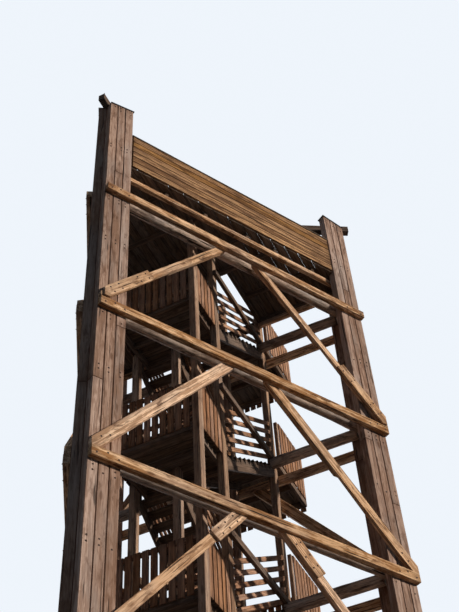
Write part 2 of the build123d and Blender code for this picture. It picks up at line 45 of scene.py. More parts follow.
slotOf = {part["node"]: part["material_slot"] for part in frame["record"]["subparts"]}
luck = random.Random(11)
print("frame loaded:", len(nodes), "nodes")

# metres; the three faces stand on a triangle whose nose points to -y
tower = {
    "storey": 3.6,
    "topRing": 20.095,
    "storeys": 5,
    "noseY": -4.012,
    "inradius": 2.14299,
    "faceTurns": {"front": 60, "landing": 180, "side": -60},
    "nearFloorDrop": 1.345,  # near landings below their ring
    "flightRise": 1.8,
}
rings = [tower["topRing"] - tower["storey"] * level for level in range(tower["storeys"] + 1)]
nearFloors = [ring - tower["nearFloorDrop"] for ring in rings]
farFloors = [floor + tower["flightRise"] for floor in nearFloors]
stairFrame = Matrix.Translation((0, tower["noseY"], 0))


def faceFrame(faceName):
    # x along the face, y inwards from its outer plane, z up
    turn = Matrix.Rotation(math.radians(tower["faceTurns"][faceName]), 4, "Z")
    centre = Matrix.Translation((0, tower["noseY"] + 2 * tower["inradius"], 0))
    return centre @ turn @ Matrix.Translation((0, -tower["inradius"], 0))


# the camera stands on the ground off the nose and looks steeply up
camera = {
    "place": (7.215, -14.546, 1.538),
    "azimuth": 22.53,
    "elevation": 48.94,
    "roll": -4.21,
    "focalPixels": 1079.9,
    "pictureHeight": 612,
    "sensor": 36,
    "farClip": 400,
}


def addCamera():
    lens = bpy.data.cameras.new("viewCamera")
    lens.sensor_width = camera["sensor"]
    lens.lens = camera["focalPixels"] / camera["pictureHeight"] * camera["sensor"]
    lens.clip_end = camera["farClip"]
    eye = bpy.data.objects.new("viewCamera", lens)
    bpy.context.scene.collection.objects.link(eye)
    aim = Euler((math.radians(90 + camera["elevation"]), 0, math.radians(camera["azimuth"])))
    spin = Quaternion((0, 0, 1), math.radians(camera["roll"]))
    eye.rotation_mode = "QUATERNION"
    eye.rotation_quaternion = aim.to_quaternion() @ spin
    eye.location = camera["place"]
    bpy.context.scene.camera = eye


addCamera()
print("camera set")

# wood finishes: light and mid are the broad streaks, dark the grain lines, grey the weathered patches;
# fine and streak are waves per metre across the grain; the other numbers are shares, but for contrast,
# half the band of noise over which mid turns to light, and bump, the strength of the relief
woods = {
    "wingTimber": {
        "light": (0.50, 0.345, 0.268), "mid": (0.28, 0.172, 0.122), "dark": (0.115, 0.058, 0.036),
        "grey": (0.37, 0.305, 0.27), "greyShare": 0.5, "fine": 70, "streak": 12, "lines": 0.5,
        "mottle": 0.3, "stain": 0.6, "contrast": 0.06, "checks": 0.75, "knots": 0.6,
        "bump": 0.7, "arris": 0.8,
    },
    "walerTimber": {
        "light": (0.98, 0.66, 0.41), "mid": (0.39, 0.20, 0.093), "dark": (0.12, 0.052, 0.026),
        "grey": (0.66, 0.54, 0.45), "greyShare": 0.35, "fine": 60, "streak": 19, "lines": 0.6,
        "mottle": 0.4, "stain": 0.8, "contrast": 0.045, "checks": 0.9, "knots": 0.8,
        "bump": 0.9, "arris": 0.15,
    },
    "braceTimber": {
        "light": (0.93, 0.615, 0.385), "mid": (0.44, 0.246, 0.132), "dark": (0.12, 0.056, 0.03),
        "grey": (0.58, 0.46, 0.37), "greyShare": 0.3, "fine": 60, "streak": 19, "lines": 0.55,
        "mottle": 0.35, "stain": 0.75, "contrast": 0.05, "checks": 0.85, "knots": 0.8,
        "bump": 0.9, "arris": 0.2,
    },
    "boardWood": {
        "light": (0.54, 0.295, 0.126), "mid": (0.155, 0.072, 0.03), "dark": (0.045, 0.02, 0.009),
        "grey": (0.30, 0.18, 0.10), "greyShare": 0.22, "fine": 85, "streak": 17, "lines": 0.75,
        "mottle": 0.12, "stain": 0.6, "contrast": 0.03, "checks": 0.6, "knots": 0.5,
        "bump": 0.6, "arris": 0.9,
    },
    "slatWood": {
        "light": (0.50, 0.27, 0.155), "mid": (0.24, 0.12, 0.066), "dark": (0.07, 0.034, 0.02),
        "grey": (0.32, 0.235, 0.19), "greyShare": 0.4, "fine": 85, "streak": 17, "lines": 0.6,
        "mottle": 0.25, "stain": 0.6, "contrast": 0.06, "checks": 0.45, "knots": 0.5,
        "bump": 0.6, "arris": 0.5,
    },
    "logWood": {
        "light": (0.78, 0.60, 0.47), "mid": (0.31, 0.22, 0.17), "dark": (0.075, 0.052, 0.042),
        "grey": (0.55, 0.49, 0.45), "greyShare": 0.7, "fine": 50, "streak": 9, "lines": 0.7,
        "mottle": 0.45, "stain": 0.75, "contrast": 0.06, "checks": 0.95, "knots": 0.8,
        "bump": 1.0, "arris": 0.3,
    },
    "postTimber": {
        "light": (0.47, 0.305, 0.20), "mid": (0.25, 0.15, 0.098), "dark": (0.075, 0.042, 0.028),
        "grey": (0.33, 0.265, 0.22), "greyShare": 0.45, "fine": 70, "streak": 13, "lines": 0.6,
        "mottle": 0.3, "stain": 0.6, "contrast": 0.07, "checks": 0.75, "knots": 0.55,
        "bump": 0.7, "arris": 0.3,
    },
    # painted shade: the post timber's colours at half brightness, for the beams, joists, trimmers, bearers,
    # stringers and rails inside the tower
    "shadedBeamTimber": {
        "light": (0.23, 0.152, 0.108), "mid": (0.12, 0.077, 0.053), "dark": (0.038, 0.024, 0.018),
        "grey": (0.175, 0.145, 0.126), "greyShare": 0.45, "fine": 70, "streak": 13, "lines": 0.6,
        "mottle": 0.3, "stain": 0.6, "contrast": 0.07, "checks": 0.7, "knots": 0.5,
        "bump": 0.7, "arris": 0.4,
    },
    # painted shade: as dark as the shaded beam timber, for the treads, floors and planks seen from beneath
    "shadedDeckWood": {
        "light": (0.22, 0.152, 0.108), "mid": (0.12, 0.08, 0.055), "dark": (0.038, 0.025, 0.018),
        "grey": (0.195, 0.168, 0.148), "greyShare": 0.5, "fine": 80, "streak": 15, "lines": 0.6,
        "mottle": 0.25, "stain": 0.6, "contrast": 0.07, "checks": 0.5, "knots": 0.5,
        "bump": 0.6, "arris": 0.6,
    },
    "capTimber": {
        "light": (0.26, 0.20, 0.155), "mid": (0.14, 0.105, 0.08), "dark": (0.045, 0.034, 0.027),
        "grey": (0.24, 0.215, 0.19), "greyShare": 0.5, "fine": 80, "streak": 18, "lines": 0.7,
        "mottle": 0.2, "stain": 0.5, "contrast": 0.12, "checks": 0.5, "knots": 0.4,
        "bump": 0.5, "arris": 0.4,
    },
}


def newMaterial(name):
    material = bpy.data.materials.new(name)
    material.use_nodes = True
    tree = material.node_tree
    tree.nodes.clear()
    output = tree.nodes.new("ShaderNodeOutputMaterial")
    shader = tree.nodes.new("ShaderNodeBsdfPrincipled")
    tree.links.new(shader.outputs["BSDF"], output.inputs["Surface"])
    return material, tree, shader


def attribute(tree, name, socket):
    node = tree.nodes.new("ShaderNodeAttribute")
    node.attribute_name = name
    return node.outputs[socket]


def connect(tree, value, socket):
    if isinstance(value, (int, float)):
        socket.default_value = value
    elif isinstance(value, tuple):
        socket.default_value = value if len(socket.default_value) == 3 else value + (1,)
    else:
        tree.links.new(value, socket)


def calculate(tree, operation, first, second):
    node = tree.nodes.new("ShaderNodeMath")
    node.operation = operation
    connect(tree, first, node.inputs[0])
    connect(tree, second, node.inputs[1])
    return node.outputs["Value"]


def vectorStep(tree, operation, first, second=None):
    node = tree.nodes.new("ShaderNodeVectorMath")
    node.operation = operation
    connect(tree, first, node.inputs[0])
    if second is not None:
        connect(tree, second, node.inputs[1])
    return node.outputs["Vector"]


def cloud(tree, vector, scales, pattern):
    # noise with its own scale on each axis
    node = tree.nodes.new("ShaderNodeTexNoise")
    node.inputs["Scale"].default_value = 1
    node.inputs["Detail"].default_value = pattern["detail"]
    node.inputs["Roughness"].default_value = pattern["roughness"]
    node.inputs["Distortion"].default_value = pattern["distortion"]
    tree.links.new(vectorStep(tree, "MULTIPLY", vector, scales), node.inputs["Vector"])
    return node.outputs["Fac"]


def ramp(tree, value, low, high, first=0.0, last=1.0):
    node = tree.nodes.new("ShaderNodeMapRange")
    node.interpolation_type = "SMOOTHSTEP"
    node.inputs["From Min"].default_value = low
    node.inputs["From Max"].default_value = high
    node.inputs["To Min"].default_value = first
    node.inputs["To Max"].default_value = last
    tree.links.new(value, node.inputs["Value"])
    return node.outputs["Result"]


def blend(tree, factor, first, second):
    node = tree.nodes.new("ShaderNodeMix")
    node.data_type = "RGBA"
    sockets = {socket.identifier: socket for socket in node.inputs}
    connect(tree, factor, sockets["Factor_Float"])
    connect(tree, first, sockets["A_Color"])
    connect(tree, second, sockets["B_Color"])
    return next(socket for socket in node.outputs if socket.identifier == "Result_Color")


def addBump(tree, shader, height, strength, distance):
    bump = tree.nodes.new("ShaderNodeBump")
    bump.inputs["Strength"].default_value = strength
    bump.inputs["Distance"].default_value = distance
    tree.links.new(height, bump.inputs["Height"])
    tree.links.new(bump.outputs["Normal"], shader.inputs["Normal"])


crackShade = (0.014, 0.011, 0.010)  # painted shade: the near-black bottom of a crack or an open joint

# noise in the wood, in waves per metre along and across the grain; each look sets fine and streak across it
woodPatterns = {
    "fine": {"along": 2.5, "detail": 4, "roughness": 0.65, "distortion": 0.25},
    "streak": {"along": 0.6, "detail": 5, "roughness": 0.65, "distortion": 0.7},
    "mottle": {
        "along": 3.4, "across": 9, "detail": 4, "roughness": 0.6, "distortion": 0.6, "offset": (11, 3, 29),
    },
    "broad": {"along": 0.35, "across": 5.5, "detail": 3, "roughness": 0.5, "distortion": 0.4},
    "patch": {"along": 0.6, "across": 2.4, "detail": 4, "roughness": 0.6, "distortion": 0},
    "stain": {
        "along": 1.9, "across": 7, "detail": 5, "roughness": 0.68, "distortion": 0.5, "offset": (31, 17, 5),
    },
    "crack": {"along": 0.8, "across": 24, "detail": 2, "roughness": 0.5, "distortion": 0.3},
}
# the band over which each layer comes or goes: in noise, or in metres from an end or an arris
woodBands = {
    "broad": (0.38, 0.62), "patch": (0.44, 0.66), "stain": (0.52, 0.66), "fine": (0.34, 0.52),
    "crack": (0.635, 0.685), "knot": (0.08, 0.17), "rough": (0.3, 0.7),
    "end": (0, 0.22), "arris": (0.002, 0.016),
}
# value and saturation: of the deepest and the palest timber of one look; rough: on and between the grain lines
woodFinish = {
    "broadShare": 0.45, "endShare": 0.35, "knotScales": (1.4, 4.6, 4.6),
    "value": (0.85, 1.13), "saturation": (1.08, 0.92), "rough": (1, 0.82), "specular": 0.1,
    "streakRelief": 0.8, "reliefHeight": 0.006,
}


def grainNoises(tree, grain, look):
    noises = {}
    for kind, pattern in woodPatterns.items():
        across = pattern["across"] if "across" in pattern else look[kind]
        place = vectorStep(tree, "ADD", grain, pattern["offset"]) if "offset" in pattern else grain
        noises[kind] = cloud(tree, place, (pattern["along"], across, across), pattern)
    return noises


def knotSpots(tree, grain, strength):
    knot = tree.nodes.new("ShaderNodeTexVoronoi")
    knot.inputs["Scale"].default_value = 1
    tree.links.new(vectorStep(tree, "MULTIPLY", grain, woodFinish["knotScales"]), knot.inputs["Vector"])
    return ramp(tree, knot.outputs["Distance"], *woodBands["knot"], strength, 0)


def woodMargins(tree):
    # distances to the nearest end and to the nearest arris
    section = vectorStep(tree, "ABSOLUTE", attribute(tree, "section", "Vector"))
    inset = vectorStep(tree, "SUBTRACT", attribute(tree, "halfSize", "Vector"), section)
    margins = tree.nodes.new("ShaderNodeSeparateXYZ")
    tree.links.new(inset, margins.inputs["Vector"])
    toEnd, toSide, toFace = margins.outputs
    nearer = calculate(tree, "MINIMUM", toSide, toFace)
    farther = calculate(tree, "MAXIMUM", toSide, toFace)
    return toEnd, calculate(tree, "MAXIMUM", nearer, calculate(tree, "MINIMUM", farther, toEnd))


def woodMaterial(name, look):
    # grain: place in the timber; section and halfSize: distances from its middle; tone: its own shade
    material, tree, shader = newMaterial(name)
    grain = attribute(tree, "grain", "Vector")
    tone = attribute(tree, "tone", "Fac")
    toEnd, toArris = woodMargins(tree)
    noises = grainNoises(tree, grain, look)
    crack = ramp(tree, noises["crack"], *woodBands["crack"], 0, look["checks"])
    shades = calculate(tree, "ADD", calculate(tree, "MULTIPLY", noises["streak"], 1 - look["mottle"]),
                       calculate(tree, "MULTIPLY", noises["mottle"], look["mottle"]))
    shades = ramp(tree, shades, 0.5 - look["contrast"], 0.5 + look["contrast"])

    # each layer's share and its colour, from the ground colour up
    colour = blend(tree, shades, look["mid"], look["light"])
    layers = (
        (ramp(tree, noises["broad"], *woodBands["broad"], woodFinish["broadShare"], 0), look["mid"]),
        (ramp(tree, noises["patch"], *woodBands["patch"], 0, look["greyShare"]), look["grey"]),
        (ramp(tree, noises["stain"], *woodBands["stain"], 0, look["stain"]), look["dark"]),
        (ramp(tree, noises["fine"], *woodBands["fine"], look["lines"], 0), look["dark"]),
        (knotSpots(tree, grain, look["knots"]), look["dark"]),
        (ramp(tree, toEnd, *woodBands["end"], woodFinish["endShare"], 0), look["dark"]),
        (ramp(tree, toArris, *woodBands["arris"], look["arris"], 0), look["dark"]),
        # the cracks take painted shade, near black
        (crack, crackShade),
    )
    for share, layerColour in layers:
        colour = blend(tree, share, colour, layerColour)
    shade = tree.nodes.new("ShaderNodeHueSaturation")
    tree.links.new(colour, shade.inputs["Color"])
    tree.links.new(ramp(tree, tone, 0, 1, *woodFinish["value"]), shade.inputs["Value"])
    tree.links.new(ramp(tree, tone, 0, 1, *woodFinish["saturation"]), shade.inputs["Saturation"])
    tree.links.new(shade.outputs["Color"], shader.inputs["Base Color"])

    rough = ramp(tree, noises["fine"], *woodBands["rough"], *woodFinish["rough"])
    tree.links.new(rough, shader.inputs["Roughness"])
    shader.inputs["Specular IOR Level"].default_value = woodFinish["specular"]
    relief = calculate(tree, "MULTIPLY", noises["streak"], woodFinish["streakRelief"])
    relief = calculate(tree, "SUBTRACT", calculate(tree, "ADD", noises["fine"], relief), crack)
    addBump(tree, shader, relief, look["bump"], woodFinish["reliefHeight"])
    return material


metals = {
    "boltSteel": {
        "colour": (0.085, 0.06, 0.048), "stain": (0.12, 0.055, 0.03), "metallic": 0.4, "rough": 0.7,
    },
    "galvanised": {
        "colour": (0.36, 0.37, 0.38), "stain": (0.22, 0.21, 0.20), "metallic": 0.85, "rough": 0.45,
    },
    "capSheet": {
        "colour": (0.06, 0.062, 0.066), "stain": (0.035, 0.034, 0.034), "metallic": 0.3, "rough": 0.55,
    },
}
metalPatterns = {
    "spangle": {"scales": (45, 45, 45), "detail": 3, "roughness": 0.6, "distortion": 0},
    "stain": {"scales": (6, 6, 2.5), "detail": 4, "roughness": 0.65, "distortion": 0},
}
metalFinish = {
    "spangleBand": (0.35, 0.65), "spangleShare": 0.5, "stainBand": (0.5, 0.66), "stainShare": 0.85,
    "roughBand": (0.4, 0.7), "roughGain": 0.3, "bump": 0.25, "reliefHeight": 0.002,
}


def metalMaterial(name, look):
    material, tree, shader = newMaterial(name)
    place = tree.nodes.new("ShaderNodeTexCoord").outputs["Object"]
    spangle, stain = [cloud(tree, place, metalPatterns[kind]["scales"], metalPatterns[kind])
                      for kind in ("spangle", "stain")]
    layers = (
        ramp(tree, spangle, *metalFinish["spangleBand"], metalFinish["spangleShare"], 0),
        ramp(tree, stain, *metalFinish["stainBand"], 0, metalFinish["stainShare"]),
    )
    colour = look["colour"]
    for share in layers:
        colour = blend(tree, share, colour, look["stain"])
    tree.links.new(colour, shader.inputs["Base Color"])
    stained = min(1, look["rough"] + metalFinish["roughGain"])
    rough = ramp(tree, stain, *metalFinish["roughBand"], look["rough"], stained)
    tree.links.new(rough, shader.inputs["Roughness"])
    shader.inputs["Metallic"].default_value = look["metallic"]
    relief = calculate(tree, "ADD", spangle, stain)
    addBump(tree, shader, relief, metalFinish["bump"], metalFinish["reliefHeight"])
    return material


materials = {name: woodMaterial(name, look) for name, look in woods.items()}
materials.update({name: metalMaterial(name, look) for name, look in metals.items()})
print("finishes made:", len(materials))


def limitsBox(bm, place, x, y, z, lean=0.0):
    # a squared timber between pairs of limits in the given frame, leant a little about its y axis
    low, high = Vector((x[0], y[0], z[0])), Vector((x[1], y[1], z[1]))
    shape = Matrix.Diagonal((high - low).to_4d())
    turn = Matrix.Rotation(lean, 4, "Y")
    middle = Matrix.Translation((low + high) / 2)
    made = bmesh.ops.create_cube(bm, size=1, matrix=place @ middle @ turn @ shape)
    return made["verts"]


meshRules = {"sharpAngle": math.radians(35), "sliver": 2e-5, "merge": 1e-5, "flatAngle": math.radians(1)}


def wearEdges(bm, wear):
    sharp = [edge for edge in bm.edges
             if edge.is_manifold and edge.calc_face_angle(0) > meshRules["sharpAngle"]]
    bmesh.ops.bevel(bm, geom=sharp, offset=wear, offset_type="OFFSET", segments=1, profile=0.5,
                    affect="EDGES", material=-1, clamp_overlap=True)
    bmesh.ops.dissolve_degenerate(bm, dist=meshRules["sliver"], edges=bm.edges)


def islandsOf(bm):
    # the separate timbers of one mesh
    waiting = dict.fromkeys(bm.verts)
    while waiting:
        start = next(iter(waiting))
        del waiting[start]
        group, fringe = [start], [start]
        while fringe:
            vert = fringe.pop()
            for edge in vert.link_edges:
                other = edge.other_vert(vert)
                if other in waiting:
                    del waiting[other]
                    group.append(other)
                    fringe.append(other)
        yield group


grainRules = {"sideTilt": 0.2, "farthestShift": 60}


def timberAxes(group):
    # along the longest edge, and through the widest face that lies along it
    edges = dict.fromkeys(edge for vert in group for edge in vert.link_edges)
    longest = max(edges, key=lambda edge: edge.calc_length())
    along = (longest.verts[1].co - longest.verts[0].co).normalized()
    faces = dict.fromkeys(face for vert in group for face in vert.link_faces)
    sides = [face for face in faces if abs(face.normal.dot(along)) < grainRules["sideTilt"]]
    widest = max(sides or faces, key=lambda face: face.calc_area())
    through = (widest.normal - along * widest.normal.dot(along)).normalized()
    return along, through.cross(along), through


def markGrain(bm):
    bm.normal_update()
    layers = {name: bm.verts.layers.float_vector.new(name) for name in ("grain", "section", "halfSize")}
    tone = bm.verts.layers.float.new("tone")
    # a new layer spoils the handles of the earlier ones
    layers = {name: bm.verts.layers.float_vector[name] for name in layers}
    for group in islandsOf(bm):
        axes = timberAxes(group)
        places = [Vector([vert.co.dot(axis) for axis in axes]) for vert in group]
        low = Vector([min(place[axis] for place in places) for axis in range(3)])
        high = Vector([max(place[axis] for place in places) for axis in range(3)])
        shift = Vector([luck.uniform(0, grainRules["farthestShift"]) for axis in range(3)])
        shade = luck.random()
        for vert, place in zip(group, places):
            vert[layers["grain"]] = place - low + shift
            vert[layers["section"]] = place - (low + high) / 2
            vert[layers["halfSize"]] = (high - low) / 2
            vert[tone] = shade


def finishPiece(bm, name, materialName, slotName):
    mesh = bpy.data.meshes.new(name)
    bm.to_mesh(mesh)
    bm.free()
    piece = bpy.data.objects.new(name, mesh)
    bpy.context.scene.collection.objects.link(piece)
    mesh.materials.append(materials[materialName])
    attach(piece, "root")
    return piece


def finishTimber(bm, nodeName, materialName, wear):
    wearEdges(bm, wear)
    markGrain(bm)
    piece = finishPiece(bm, nodeName + "Timber", materialName, slotOf[nodeName])
    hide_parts(nodeName)


# corner wings: three timbers side by side, each jointed from shorter lengths; above is over every top
wings = {
    "timbers": 3, "width": 0.2, "thickness": 0.18, "inner": 2.8, "joint": 0.005, "wear": 0.009,
    "facePlay": 0.004, "topOuter": 3.44, "topInner": 3.545, "above": 30,
    "buttJoints": ((8.35, 16.1), (5.2, 12.9, 20.9), (6.9, 14.6)), "buttGap": 0.004,
}


def wingTop(x):
    # the top falls from the inner edge towards the corner
    share = (abs(x) - wings["inner"]) / (wings["timbers"] * wings["width"])
    return tower["topRing"] + wings["topInner"] + share * (wings["topOuter"] - wings["topInner"])


def buildWing(faceName, hand):
    bm = bmesh.new()
    place = faceFrame(faceName)
    direction = -1 if hand == "left" else 1
    for timber in range(wings["timbers"]):
        inner, outer = [wings["inner"] + (timber + step) * wings["width"] for step in (0, 1)]
        x = sorted((direction * (inner + wings["joint"] * (timber > 0)),
                    direction * (outer - wings["joint"] * (timber < wings["timbers"] - 1))))
        y = (luck.uniform(0, wings["facePlay"]), wings["thickness"])
        ends = (0,) + wings["buttJoints"][timber] + (wings["above"],)
        for bottom, top in zip(ends[:-1], ends[1:]):
            verts = limitsBox(bm, place, x, y, (bottom, top - wings["buttGap"]))
        # the last length is cut off at the sloping top
        for vert in verts:
            height = wingTop((place.inverted() @ vert.co).x)
            vert.co.z = min(vert.co.z, height)
    finishTimber(bm, f"{faceName}_{hand}_wing", "wingTimber", wings["wear"])


for faceName in tower["faceTurns"]:
    for hand in ("left", "right"):
        buildWing(faceName, hand)
print("wings built")

# parapets: boards on upright battens
parapet = {
    "boards": 6, "board": 0.19, "gap": 0.009, "thickness": 0.04, "fromWing": 0.022, "bottom": 21.427,
    "endPlay": 0.012, "facePlay": 0.005, "trim": 0.002, "lean": 0.0006, "wear": 0.004,
    "battenWidth": 0.12, "battenThickness": 0.06, "battenSpacing": 1.1, "battenBottom": 21.45,
    "stairSide": 1.01,
}
parapet["pitch"] = parapet["board"] + parapet["gap"]
parapet["spans"] = {
    "front": [(-wings["inner"], wings["inner"])],
    "side": [(-wings["inner"], wings["inner"])],
    "landing": [(parapet["stairSide"], wings["inner"]), (-wings["inner"], -parapet["stairSide"])],
}
parapet["top"] = parapet["bottom"] + parapet["boards"] * parapet["pitch"] - parapet["gap"]


def battenPlaces(span):
    bays = round((span[1] - span[0]) / parapet["battenSpacing"])
    step = (span[1] - span[0] - parapet["battenWidth"]) / bays
    return [span[0] + batten * step for batten in range(bays + 1)]


def buildParapet(faceName):
    bm = bmesh.new()
    place = faceFrame(faceName)
    for span in parapet["spans"][faceName]:
        # the boards stop short of a wing, and end flush with the stair's wall posts
        ends = [end - math.copysign(parapet["fromWing"], end) * (abs(end) == wings["inner"]) for end in span]
        for row in range(parapet["boards"]):
            low = parapet["bottom"] + row * parapet["pitch"]
            short = luck.uniform(0, parapet["endPlay"])
            x = (ends[0] + short, ends[1] - short)
            y = (luck.uniform(0, parapet["facePlay"]), parapet["thickness"])
            z = (low + parapet["trim"], low + parapet["board"] - parapet["trim"])
            limitsBox(bm, place, x, y, z, luck.uniform(-parapet["lean"], parapet["lean"]))
        for x in battenPlaces(span):
            limitsBox(bm, place, (x, x + parapet["battenWidth"]),
                      (parapet["thickness"], parapet["thickness"] + parapet["battenThickness"]),
                      (parapet["battenBottom"], parapet["top"]))
    finishTimber(bm, faceName + "_parapet", "boardWood", parapet["wear"])


for faceName in tower["faceTurns"]:
    buildParapet(faceName)
print("parapets built")

# slatted guards: upright slats nailed to two rails; limits as in the stair's own frame
guards = {
    "slat": 0.13, "pitch": 0.165, "rail": 0.1, "lowRail": 0.15, "wear": 0.003, "endPlay": 0.008,
    "lean": 0.004, "roundingRoom": 1e-6,
    "near_end_panels": {
        "floors": nearFloors, "runAxis": "x", "run": (-0.87, 0.87), "rails": (-0.87, 0.87),
        "slatDepth": (2.59057, 2.61557), "railDepth": (2.61557, 2.65057), "below": 0.11, "top": 1.05,
    },
    "near_side_panels": {
        "floors": nearFloors, "runAxis": "y", "run": (2.77057, 3.586), "rails": (2.77057, 3.586),
        "slatDepth": (0.975, 1.0), "railDepth": (0.94, 0.975), "below": 0.11, "top": 1.05,
    },
    "far_side_panels": {
        "floors": farFloors, "runAxis": "y", "run": (6.47, 7.909), "rails": (6.55, 7.829),
        "slatDepth": (1.09, 1.115), "railDepth": (1.055, 1.09), "below": 0.055, "top": 1.225,
    },
    "far_end_panels": {
        "floors": farFloors, "runAxis": "x", "run": (-1.09, 1.09), "rails": (-1.01, 1.01),
        "slatDepth": (7.909, 7.934), "railDepth": (7.874, 7.909), "below": 0.295, "top": 1.225,
    },
}


def slatStarts(span):
    count = int((span[1] - span[0] - guards["slat"]) / guards["pitch"] + guards["roundingRoom"]) + 1
    margin = (span[1] - span[0] - (count - 1) * guards["pitch"] - guards["slat"]) / 2
    return [span[0] + margin + slat * guards["pitch"] for slat in range(count)]


def guardSides(panel):
    # an end panel lies along x once, a side panel along y on both hands
    if panel["runAxis"] == "x":
        return [lambda run, depth: (run, depth)]
    return [lambda run, depth: (depth, run), lambda run, depth: ((-depth[1], -depth[0]), run)]


def buildGuard(nodeName):
    panel = guards[nodeName]
    bm = bmesh.new()
    for floor in panel["floors"]:
        for side in guardSides(panel):
            for low in (guards["lowRail"], panel["top"] - guards["rail"]):
                x, y = side(panel["rails"], panel["railDepth"])
                limitsBox(bm, stairFrame, x, y, (floor + low, floor + low + guards["rail"]))
            for start in slatStarts(panel["run"]):
                x, y = side((start, start + guards["slat"]), panel["slatDepth"])
                lean = luck.uniform(-guards["lean"], guards["lean"]) * (panel["runAxis"] == "x")
                z = (floor - panel["below"] + luck.uniform(0, guards["endPlay"]),
                     floor + panel["top"] - luck.uniform(0, guards["endPlay"]))
                limitsBox(bm, stairFrame, x, y, z, lean)
    finishTimber(bm, nodeName, "slatWood", guards["wear"])


panelNames = ("near_end_panels", "near_side_panels", "far_side_panels", "far_end_panels")
for nodeName in panelNames:
    buildGuard(nodeName)
print("slatted guards built")

# round logs: the solid's own shape, made uneven along its length
logs = {
    "wear": 0.006, "cuts": 22, "swell": 0.007, "wave": 3.2,
    "longEdge": 1, "parallel": 0.99, "endTilt": 0.5,
}


def copyNode(nodeName):
    bm = bmesh.new()
    bm.from_mesh(nodes[nodeName].data)
    bmesh.ops.remove_doubles(bm, verts=bm.verts, dist=meshRules["merge"])
    bmesh.ops.dissolve_limit(bm, angle_limit=meshRules["flatAngle"], verts=bm.verts, edges=bm.edges)
    return bm


def buildLogs(faceName):
    nodeName = faceName + "_logs"
    bm = copyNode(nodeName)
    along = faceFrame(faceName).to_3x3() @ Vector((1, 0, 0))
    wearEdges(bm, logs["wear"])
    markGrain(bm)
    longEdges = []
    for edge in bm.edges:
        direction = (edge.verts[1].co - edge.verts[0].co).normalized()
        if edge.calc_length() > logs["longEdge"] and abs(direction.dot(along)) > logs["parallel"]:
            longEdges.append(edge)
    bmesh.ops.subdivide_edges(bm, edges=longEdges, cuts=logs["cuts"], use_grid_fill=True)
    bm.normal_update()
    for vert in bm.verts:
        outwards = vert.normal - along * vert.normal.dot(along)
        vert.co += outwards * logs["swell"] * noise.noise(vert.co * logs["wave"])
    for face in bm.faces:
        face.smooth = abs(face.normal.dot(along)) < logs["endTilt"]
    piece = finishPiece(bm, nodeName + "Timber", "logWood", slotOf[nodeName])
    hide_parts(nodeName)


for faceName in tower["faceTurns"]:
    buildLogs(faceName)
print("logs built")

# the other timbers keep their solids' shapes: finish and width of the worn arris in metres
squared = {
    "brace_splices": ("braceTimber", 0.005),
    "braces": ("braceTimber", 0.009),
    "walers": ("walerTimber", 0.008),
    "parapet_caps": ("capTimber", 0.004),
    "stair_rails": ("slatWood", 0.005),
    "stairwell_rails": ("shadedBeamTimber", 0.004),
    "posts": ("postTimber", 0.007),
    "treads": ("shadedDeckWood", 0.005),
    "floors": ("shadedDeckWood", 0.004),
    "planks": ("shadedDeckWood", 0.004),
    "joists": ("shadedBeamTimber", 0.005),
    "trimmers": ("shadedBeamTimber", 0.005),
    "ledgers": ("walerTimber", 0.005),
    "bearers": ("shadedBeamTimber", 0.005),
    "beams": ("shadedBeamTimber", 0.006),
    "stringers": ("shadedBeamTimber", 0.005),
}

for nodeName in sorted(nodes):
    ending = next((ending for ending in squared if nodeName.endswith(ending)), None)
    if ending:
        materialName, wear = squared[ending]
        finishTimber(copyNode(nodeName), nodeName, materialName, wear)
for nodeName, materialName in {"tie_hub": "galvanised", "lightning_rod": "boltSteel"}.items():
    nodes[nodeName].data.materials.clear()
    nodes[nodeName].data.materials.append(materials[materialName])
print("squared timbers dressed")

# bolts with round washers, through wings, walers, braces and long beams
bolts = {
    "washer": {"radius": 0.020, "taper": 0.0015, "base": -0.001, "height": 0.004, "sides": 12},
    "head": {"radius": 0.012, "taper": 0.003, "base": 0.002, "height": 0.013, "sides": 6},
}


def addDisc(bm, seat, disc):
    # base is the height of its underside over the timber's face
    middle = Matrix.Translation((0, 0, disc["base"] + disc["height"] / 2))
    bmesh.ops.create_cone(bm, cap_ends=True, segments=disc["sides"], radius1=disc["radius"],
                          radius2=disc["radius"] - disc["taper"], depth=disc["height"], matrix=seat @ middle)


def addBolt(bm, place, x, y, z):
    # the head stands out of the face, towards -y
    seat = place @ Matrix.Translation((x, y, z)) @ Matrix.Rotation(math.radians(90), 4, "X")
    spin = Matrix.Rotation(luck.uniform(0, math.pi), 4, "Z")
    addDisc(bm, seat, bolts["washer"])
    addDisc(bm, seat @ spin, bolts["head"])


# pairs of bolts tie the wing timbers together; heights from each ring, and near the wing's top
wingBolts = {
    "fromTop": (0.14, 1.75), "fromRing": (-0.26, -1.62), "pair": 0.055, "side": 0.035, "share": 0.75,
    "face": 0.003,
}
walerBolts = {"face": -0.12, "height": -0.015, "stagger": 0.032}

# a brace's foot stands against the wing, and its head leans in behind the upper waler
braceBolts = {
    "footX": 3.29, "headX": 0.5, "thickness": 0.11, "footHeight": 0.2, "headDrop": 0.07,
    "lean": {"front": 0.11, "side": 0.11, "landing": 0}, "atFoot": (0.13, 0.31), "across": 0.03,
    "splice": 0.05, "endGap": 0.1,
    "footPlate": {"level": 1, "places": (0.16, 0.42, 1.05, 1.33)},
    "headPlate": {"level": 3, "places": (0.14, 0.4, 0.62)},
}


def bracePlace(faceName, direction, lowerRing):
    # frame of a brace's outer face: x up along it from its foot, y inwards through it
    place = faceFrame(faceName)
    drop = -braceBolts["thickness"]
    foot = Vector((direction * braceBolts["footX"], drop, lowerRing + braceBolts["footHeight"]))
    head = Vector((direction * braceBolts["headX"], braceBolts["lean"][faceName] + drop,
                   lowerRing + tower["storey"] - braceBolts["headDrop"]))
    along = (head - foot).normalized()
    inwards = Vector((0, 1, 0)) - along * along.y
    inwards.normalize()
    across = along.cross(inwards)
    turn = Matrix((along, inwards, across)).transposed().to_4x4()
    return place @ Matrix.Translation(foot) @ turn, (head - foot).length


